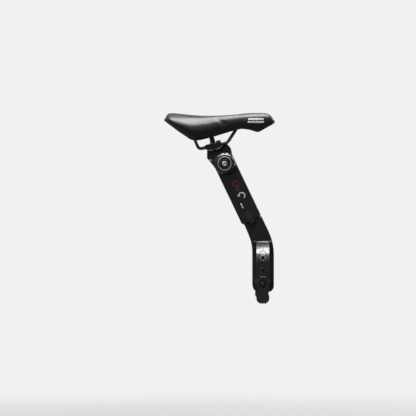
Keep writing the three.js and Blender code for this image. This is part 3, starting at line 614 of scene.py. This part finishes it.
def saddle_rim():
    """Hard edge of the base that shows as a thin line below the cover."""
    up, radius = 1.2, 1.35
    stations = saddle_stations()
    ends = [saddle_line(x)[0] for x in stations]
    right = [place(x, y, z + up) for x, y, z in ends]
    left = [place(x, -y, z + up) for x, y, z in reversed(ends)]
    piece = edge_curve("saddle_rim", right + left, radius)
    finish_piece(piece, "moulded_plastic", "saddle")


def flank_y(x, z):
    """Half-width of the cover's flank at a height."""
    flank = saddle_line(x)[:SECTION_STEPS]
    for (_, y0, z0), (_, y1, z1) in zip(flank, flank[1:]):
        if z0 <= z <= z1:
            return -lerp(y0, y1, (z - z0) / max(z1 - z0, 1e-6))
    return -flank[-1][1]


def saddle_dash(side, start, end, low, high, slant):
    """A printed bar lying on the nose's flank, thin enough to read as paint."""
    columns, rows = 24, 8
    over, under = 0.3, -0.4
    rings = []
    for i in range(rows + 1):
        z = lerp(low, high, i / rows)
        shift = slant * i / rows
        across = [lerp(start, end, j / columns) + shift for j in range(columns + 1)]
        line = [(x, over) for x in across] + [(x, under) for x in reversed(across)]
        rings.append([place(x, side * (flank_y(x, z) + out), z) for x, out in line])
    return grid_solid("dash", rings, close_ends=True)


# Plain printed bars on the nose: (start, end, low, high, slant), all in millimetres.
SADDLE_DASHES = [(51, 85, 94.6, 98.4, 1), (50, 86, 88.2, 92, 1)]


def saddle_marks():
    """Two plain bars printed on each side of the nose."""
    for name, side in SIDES.items():
        piece = joined(f"saddle_mark_{name}", [saddle_dash(side, *bar) for bar in SADDLE_DASHES])
        dress(piece, PALE_INK)
        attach(piece, "saddle")


# ---------------------------------------------------------------- foot straps


def strap_table():
    """Points down the strap's middle: (length along, out from the frame's middle, height)."""
    reach = STRAP["outer_y"] - STRAP["pin_y"]
    table = [(0.0, STRAP["pin_y"], STRAP["pin_z"])]
    steps = 80                          # over the bend, a quarter of an ellipse
    for i in range(1, steps + 1):
        a = math.pi / 2 * i / steps
        out = STRAP["pin_y"] + reach * math.sin(a)
        z = STRAP["pin_z"] - STRAP["drop"] * (1 - math.cos(a))
        length = table[-1][0] + math.hypot(out - table[-1][1], z - table[-1][2])
        table.append((length, out, z))
    length, out, z = table[-1]
    table.append((length + z - STRAP["foot"], out, STRAP["foot"]))
    return table


STRAP_TABLE = strap_table()


def strap_length(z):
    """Length along the strap at which it is at a height."""
    for (l0, _, z0), (l1, _, z1) in zip(STRAP_TABLE, STRAP_TABLE[1:]):
        if z1 <= z <= z0:
            return lerp(l0, l1, (z0 - z) / (z0 - z1))
    return STRAP_TABLE[-1][0]


def strap_place(side):
    """How flat strap points (along, across, out of it) come to lie on the bent strap."""
    def at(u, v, w):
        i = next((k for k in range(1, len(STRAP_TABLE)) if u <= STRAP_TABLE[k][0]), len(STRAP_TABLE) - 1)
        (l0, y0, z0), (l1, y1, z1) = STRAP_TABLE[i - 1], STRAP_TABLE[i]
        t = (u - l0) / (l1 - l0)
        dy, dz = (y1 - y0) / (l1 - l0), (z1 - z0) / (l1 - l0)
        return place(STRAP_X + v, side * (lerp(y0, y1, t) - dz * w), lerp(z0, z1, t) + dy * w)
    return at


# Half-width of the strap at distances below the button: straight, a waist, then the tab.
STRAP_TOP = 2.8                         # the strap's web starts this far from its pin
STRAP_WIDTHS = [(-4, 14), (8, 13.4), (19, 12.8), (24, 12.4), (28, 13.8)]
TAB_CORNER = 10.3


def mirrored(half):
    """A closed outline from its half with positive v."""
    return half + [(u, -v) for u, v in reversed(half)]


def strap_outline(inset):
    """Face outline of the strap, drawn in by an inset."""
    knots = [(STRAP_TOP + inset, STRAP["half_width"])]
    knots += [(strap_length(KEYHOLE_Z - below), width) for below, width in STRAP_WIDTHS]
    steps, corner_steps = 60, 8
    along = [lerp(knots[0][0], knots[-1][0], i / steps) for i in range(steps + 1)]
    right = [(u, through(knots, u) - inset) for u in along]
    middle_u = strap_length(STRAP["foot"]) - TAB_CORNER
    middle_v = STRAP_WIDTHS[-1][1] - TAB_CORNER
    radius = TAB_CORNER - inset
    for i in range(corner_steps + 1):
        a = math.pi / 2 * i / corner_steps
        right.append((middle_u + radius * math.sin(a), middle_v + radius * math.cos(a)))
    return mirrored(right)


def keyhole(radius):
    """Outline of the button's keyhole, a circle drawn out downward."""
    top = strap_length(KEYHOLE_Z)
    steps = 16
    outline = []
    for middle, first in ((top, math.pi / 2), (top + KEYHOLE_DROP, -math.pi / 2)):
        turns = [first + math.pi * i / steps for i in range(steps + 1)]
        outline += [(middle + radius * math.cos(a), radius * math.sin(a)) for a in turns]
    return outline


def lathe(name, profile, steps, to_place):
    """A turned solid from a closed profile; to_place(radius, along, angle) gives its points."""
    turns = [2 * math.pi * i / steps for i in range(steps)]
    rings = [[to_place(radius, along, a) for radius, along in profile] for a in turns]
    return grid_solid(name, rings + rings[:1])


# Section of the barrel on the strap's pin: (radius, distance from its rear end).
EYE_PROFILE = [(2.35, 0), (3.4, 0), (3.8, 0.4), (3.8, 27.6), (3.4, 28), (2.35, 28)]


def strap_eye(side):
    """Barrel that turns on the strap's pin."""
    rear = STRAP_X - STRAP["half_width"]

    def at(radius, along, a):
        out = STRAP["pin_y"] + radius * math.cos(a)
        return place(rear + along, side * out, STRAP["pin_z"] + radius * math.sin(a))

    return lathe("eye", EYE_PROFILE, 40, at)


def bar_outline(middle):
    """A short bar across the strap with round ends."""
    half_length, half_height = 7.5, 2.2
    steps = 10
    turns = [-math.pi / 2 + math.pi * i / steps for i in range(steps + 1)]
    flat = half_length - half_height
    return mirrored([(middle + half_height * math.sin(a), flat + half_height * math.cos(a)) for a in turns])


def flat_ring(middle, outer, inner, thick, bevel, at, lift=0.0):
    """A ring lying on the strap, cut across often enough to bend with it."""
    steps = 10
    cuts = [lerp(middle - outer, middle + outer, i / steps) for i in range(1, steps)]
    loops = [circle(middle, 0, outer), circle(middle, 0, inner)]
    return flat_shape("ring", loops, thick, bevel, at, lift, cuts)


def strap_shells(side):
    """The strap's web, raised border, keyhole lip, cross bar, lower eyelet and hinge eye."""
    at = strap_place(side)
    bends = [STRAP_TOP + 0.2 + 1.6 * i for i in range(56)]
    holes = [strap_length(z) for z in STRAP_HOLES]
    web = [strap_outline(0.9), keyhole(KEYHOLE_RADIUS + 0.3)]
    web += [circle(u, 0, HOLE_RADIUS + 0.2) for u in holes]
    border = [strap_outline(0), strap_outline(BORDER_WIDTH)]
    lip = [keyhole(KEYHOLE_RADIUS + LIP_WIDTH), keyhole(KEYHOLE_RADIUS)]
    bar = [bar_outline(strap_length(STRAP_BAR_Z))]
    return [
        flat_shape("web", web, thick=2.2, bevel=0.3, to_place=at, cuts=bends),
        flat_shape("border", border, thick=3, bevel=0.6, to_place=at, cuts=bends),
        flat_shape("lip", lip, thick=3.4, bevel=0.7, to_place=at),
        flat_shape("bar", bar, thick=3.6, bevel=1.75, to_place=at, lift=2.2),
        flat_ring(holes[1], HOLE_RADIUS + EYELET_WIDTH, HOLE_RADIUS, thick=3.2, bevel=0.5, at=at),
        strap_eye(side),
    ]


def foot_straps():
    """Each strap, and the two rings moulded on its bend, painted pale as a painted highlight of the light
    that their raised rims catch.
    """
    upper_hole = strap_length(STRAP_HOLES[0])
    ring_above = 12.5
    eyelet = HOLE_RADIUS + EYELET_WIDTH
    for name, side in SIDES.items():
        piece = joined(f"foot_strap_moulded_{name}", strap_shells(side))
        finish_piece(piece, "rubber", f"strap_{name}", f"foot_strap_{name}")
        at = strap_place(side)
        rings = joined(f"strap_rings_{name}", [
            flat_ring(upper_hole - ring_above, 8, 5.4, thick=1.6, bevel=0.5, at=at, lift=1.3),
            flat_ring(upper_hole, eyelet, HOLE_RADIUS, thick=3.8, bevel=0.8, at=at, lift=0.2),
        ])
        # The rings' pale colour is a painted highlight.
        dress(rings, RUBBER_PAINTED_HIGHLIGHT)
        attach(rings, f"strap_{name}")


# ---------------------------------------------------------------- dial

# Outer profile of the dial as (radius, distance out), from its back to the middle of its face.
DIAL_PROFILE = [
    (8, 53), (8, 62.6), (22.4, 62.6), (23.4, 62.9), (24, 64), (24, 70.4), (23.8, 71.6), (22.9, 74),
    (21.4, 77), (19.9, 79.4), (18.9, 80.4), (17.9, 80.7), (17.1, 80.3), (16.7, 79.4), (16.2, 79.3),
    (15.8, 80.6), (15.2, 81.3), (14.2, 81.5), (13.2, 81.4), (12.7, 80.7), (12.4, 79.9), (11.9, 79.7),
    (10.1, 79.7), (9.7, 80.2), (9.4, 81.6), (8.9, 82.1), (7.9, 82.2), (6.9, 82.1), (6.4, 81.5),
    (6.2, 79.8), (5.8, 79.6), (0, 79.6),
]
DIAL_BORE = [(0, 78.5), (4.3, 78.5), (4.3, 53)]
# Section of the thin grey ring on the dial's bead, a painted reflection of the light that the bead catches
# all round.
DIAL_REFLECTION_RING = [
    (13.1, 81.3), (13.5, 81.75), (14.3, 81.85), (15.2, 81.6), (15.7, 80.9), (15.4, 80.6), (14.2, 81.2),
]
FLUTES = {"count": 12, "depth": 1.7, "from_radius": 20.5, "fade": 3}


def turned(radius, out, a):
    """A point at a radius and an angle about the dial's axis."""
    return place(radius * math.cos(a), -out, radius * math.sin(a))


def fluted(radius, out, a):
    """The same, with the grip flutes cut into the rim."""
    groove = max(0.0, math.cos(FLUTES["count"] * a)) ** 3
    rim = smooth((radius - FLUTES["from_radius"]) / FLUTES["fade"])
    return turned(radius - FLUTES["depth"] * groove * rim, out, a)


def dial():
    """The dial: turned face with steps, and grip flutes in its rim."""
    steps = FLUTES["count"] * 12
    piece = link("dial_turned", lathe("dial_turned", DIAL_BORE + DIAL_PROFILE, steps, fluted))
    finish_piece(piece, "gloss_plastic", "dial", "dial")


def dial_reflection_ring():
    """Thin grey ring laid round the dial's inner bead: a painted reflection of the bright surroundings that
    the bead catches all round.
    """
    piece = link("dial_reflection_ring", lathe("dial_reflection_ring", DIAL_REFLECTION_RING, 120, turned))
    dress(piece, REFLECTION_GREY)
    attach(piece, "dial")


# ---------------------------------------------------------------- printed marks on the arms


PRINT_THICK, PRINT_BEVEL, PRINT_LIFT = 0.3, 0.08, 0.05
DASH_SHIFT = -0.8                       # the dash lies where the sleeve's face is let in
# Places on the arm: how far down it and across it from the spindle, then radii.
LARGE_RING = {"down": 50, "across": 2, "outer": 6.4, "inner": 4.6}
SMALL_RING = {"down": 62, "across": 2.6, "outer": 4.6, "inner": 3.2}
ARROW = {"down": 79, "across": 3.5, "radius": 6.6, "thick": 2.4}
DASH = {"start": 93, "end": 105, "across": -5.5, "half": 1.4}


def arm_place(side):
    """How flat points (down the arm, across it, out of it) come to lie on an arm's outer face."""
    def at(u, v, w):
        x, z = arm_point(v, u)
        return place(x, side * (ARM_FACE + w), z)
    return at


def ring_outline(ring):
    return [circle(ring["down"], ring["across"], ring[key]) for key in ("outer", "inner")]


def arc_arrow():
    """An open arc with an arrowhead at its end, as one outline."""
    start, end = math.radians(-70), math.radians(150)
    head_reach, head_angle = ARROW["thick"] * 1.6, 0.6
    half = ARROW["thick"] / 2
    steps = 22

    def at(offset, a):
        radius = ARROW["radius"] + offset
        return ARROW["down"] - radius * math.sin(a), ARROW["across"] + radius * math.cos(a)

    turns = [lerp(start, end, i / steps) for i in range(steps + 1)]
    head = [at(head_reach, end), at(0, end + head_angle), at(-head_reach, end)]
    return [at(half, a) for a in turns] + head + [at(-half, a) for a in reversed(turns)]


def dash_outline():
    near, far = DASH["across"] - DASH["half"], DASH["across"] + DASH["half"]
    return [(DASH["start"], near), (DASH["end"], near), (DASH["end"], far), (DASH["start"], far)]


def arm_marks():
    """Two red rings, a turning arrow and a dash on each arm's outer face."""
    for name, side in SIDES.items():
        at = arm_place(side)

        def printed(part, loops, lift=PRINT_LIFT):
            return flat_shape(part, loops, PRINT_THICK, PRINT_BEVEL, at, lift)

        red = [printed("large", ring_outline(LARGE_RING)), printed("small", ring_outline(SMALL_RING))]
        rings = joined(f"arm_rings_{name}", red)
        white = [printed("arrow", [arc_arrow()]), printed("dash", [dash_outline()], DASH_SHIFT)]
        arrow = joined(f"arm_arrow_{name}", white)
        for piece, paint in ((rings, RED_INK), (arrow, WHITE_INK)):
            dress(piece, paint)
            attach(piece, f"arm_{name}")


# ---------------------------------------------------------------- studio

FLOOR_Z = -0.62
FLOOR_RADIUS = 3.0
FLOOR_FADE = (0.35, 2.2)                # metres from its middle where the paper starts and stops fading
BACKDROP = 0.88                         # brightness of the plain background
PAPER = 0.44
# Brightness of the room by direction: (height of the direction from 0, down, to 1, up; brightness).
ROOM = ((0.0, 0.42), (0.36, 0.16), (0.5, 0.07), (0.62, 0.12), (1.0, 0.5))
LIGHT_AIM = (-0.02, 0, -0.05)
# Each light's place, size and power.
LIGHTS = {
    "overhead": ((-0.05, 0.1, 1.2), (1.5, 1.0), 62),
    "front_fill": ((-1.4, -2.2, 0.7), (1.2, 1.2), 10),
    "rear_rim": ((1.5, 1.8, 0.6), (0.5, 1.2), 10),
}


def paper_material():
    """Pale paper that fades into the plain background away from the object."""
    n = Nodes("paper")
    n.shader.inputs["Base Color"].default_value = (PAPER, PAPER, PAPER, 1)
    n.shader.inputs["Roughness"].default_value = 0.9
    glow = n.new("ShaderNodeEmission")
    glow.inputs["Color"].default_value = (1, 1, 1, 1)
    glow.inputs["Strength"].default_value = BACKDROP
    length = n.new("ShaderNodeVectorMath", operation="LENGTH")
    n.join(n.where, length.inputs[0])
    fade = n.new("ShaderNodeMapRange", interpolation_type="SMOOTHSTEP")
    fade.inputs["From Min"].default_value, fade.inputs["From Max"].default_value = FLOOR_FADE
    n.join(length.outputs["Value"], fade.inputs["Value"])
    mix = n.new("ShaderNodeMixShader")
    n.join(fade.outputs["Result"], mix.inputs["Fac"])
    n.join(n.shader.outputs["BSDF"], mix.inputs[1])
    n.join(glow.outputs["Emission"], mix.inputs[2])
    output = next(node for node in n.tree.nodes if node.type == "OUTPUT_MATERIAL")
    n.join(mix.outputs["Shader"], output.inputs["Surface"])
    return n.material


def add_floor():
    mesh = bpy.data.meshes.new("floor")
    rim = [(x, y, 0) for x, y in circle(0, 0, FLOOR_RADIUS, 96)]
    mesh.from_pydata(rim, [], [tuple(range(len(rim)))])
    floor = link("floor", mesh)
    floor.location = (0, 0, FLOOR_Z)
    dress(floor, paper_material())
    floor.visible_glossy = False
    floor.visible_diffuse = False


def fill_ramp(ramp, stops):
    """Sets a ramp's grey stops, the first two of which it already has."""
    for index, (at, value) in enumerate(stops):
        stop = ramp.elements[index] if index < 2 else ramp.elements.new(at)
        stop.position = at
        stop.color = (value, value, value, 1)


def add_world():
    """A plain pale background for the camera, and a dim room with a lighter floor for the light."""
    world = bpy.data.worlds.new("studio")
    bpy.context.scene.world = world
    world.use_nodes = True
    tree = world.node_tree
    tree.nodes.clear()
    add = tree.nodes.new
    where, split = add("ShaderNodeTexCoord"), add("ShaderNodeSeparateXYZ")
    tree.links.new(where.outputs["Generated"], split.inputs["Vector"])
    ramp = add("ShaderNodeValToRGB")
    height = add("ShaderNodeMapRange")
    height.inputs["From Min"].default_value = -1
    tree.links.new(split.outputs["Z"], height.inputs["Value"])
    tree.links.new(height.outputs["Result"], ramp.inputs["Fac"])
    fill_ramp(ramp.color_ramp, ROOM)
    room, plain = add("ShaderNodeBackground"), add("ShaderNodeBackground")
    tree.links.new(ramp.outputs["Color"], room.inputs["Color"])
    plain.inputs["Color"].default_value = (BACKDROP, BACKDROP, BACKDROP, 1)
    path, mix, output = add("ShaderNodeLightPath"), add("ShaderNodeMixShader"), add("ShaderNodeOutputWorld")
    tree.links.new(path.outputs["Is Camera Ray"], mix.inputs["Fac"])
    tree.links.new(room.outputs["Background"], mix.inputs[1])
    tree.links.new(plain.outputs["Background"], mix.inputs[2])
    tree.links.new(mix.outputs["Shader"], output.inputs["Surface"])


def add_light(name, place_at, size, energy):
    data = bpy.data.lights.new(name, "AREA")
    data.shape = "RECTANGLE"
    data.size, data.size_y = size
    data.energy = energy
    light = bpy.data.objects.new(name, data)
    light.location = place_at
    light.rotation_euler = (Vector(LIGHT_AIM) - Vector(place_at)).to_track_quat("-Z", "Y").to_euler()
    bpy.context.scene.collection.objects.link(light)
    light.visible_camera = False


def add_studio():
    add_floor()
    add_world()
    for name, settings in LIGHTS.items():
        add_light(name, *settings)
    bpy.context.scene.view_settings.view_transform = "Standard"


# ---------------------------------------------------------------- the whole picture

add_camera()
refine_nodes()
saddle_cover()
saddle_rim()
saddle_marks()
foot_straps()
dial()
dial_reflection_ring()
arm_marks()
add_studio()
